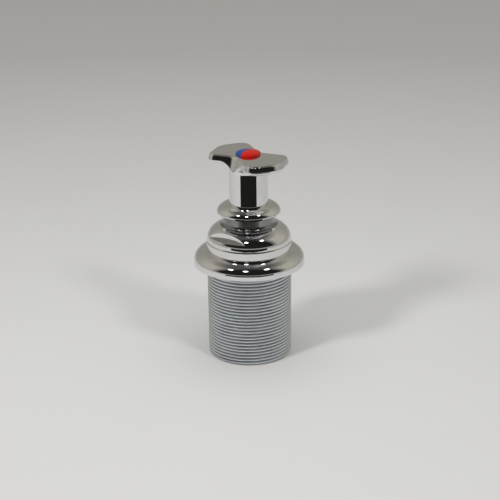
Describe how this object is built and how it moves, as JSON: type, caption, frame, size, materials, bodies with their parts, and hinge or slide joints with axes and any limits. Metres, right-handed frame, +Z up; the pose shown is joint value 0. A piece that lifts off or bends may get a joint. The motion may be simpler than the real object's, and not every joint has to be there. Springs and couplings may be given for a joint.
{
  "type": "deck mount mixer tap",
  "caption": "Deck mounted mixing tap valve: a chrome S-shaped handle turns a ceramic disc cartridge in a flanged body on a threaded shank, with hot, cold and outlet hose ports in its foot.",
  "frame": {"origin": "centre of the flange's underside, where the shank leaves it and the deck's top meets it", "axes": "+Z up out of the deck along the shank's axis, -Y to the front, +X to the user's right"},
  "size_m": [0.05, 0.05, 0.0953],
  "materials": {
    "chrome_brass": "polished chrome plate on brass",
    "chrome_zinc": "polished chrome plate on a cast handle",
    "black_rubber": "matt black rubber",
    "white_moulding": "satin white engineering plastic",
    "grey_moulding": "satin grey engineering plastic",
    "ceramic": "lapped white ceramic",
    "bare_brass": "turned brass",
    "spring_steel": "dark spring steel",
    "screw_steel": "bright stainless steel",
    "blue_index": "glossy blue plastic",
    "red_index": "glossy red plastic"
  },
  "bodies": {
    "base": {"body": "chrome_brass", "port_block": "bare_brass", "deck_seal": "black_rubber", "cartridge_base": "white_moulding", "base_seals": "black_rubber", "disc_seals": "black_rubber", "fixed_disc": "ceramic", "cartridge_housing": "white_moulding", "housing_seal": "black_rubber", "thrust_washer": "grey_moulding", "bonnet": "chrome_brass", "bonnet_seal": "black_rubber", "neck_bush": "grey_moulding"},
    "control": {"handle": "chrome_zinc", "handle_screw": "screw_steel", "cold_index": "blue_index", "hot_index": "red_index", "spindle": "bare_brass", "spindle_seals": "black_rubber", "spindle_clip": "spring_steel", "disc_carrier": "grey_moulding", "moving_disc": "ceramic"}
  },
  "joints": [
    {"name": "handle_turn", "type": "hinge", "parent": "base", "child": "control", "pos_m": [0, 0, 0.0256], "axis": [0, 0, 1], "range_deg": [0, 110]}
  ]
}
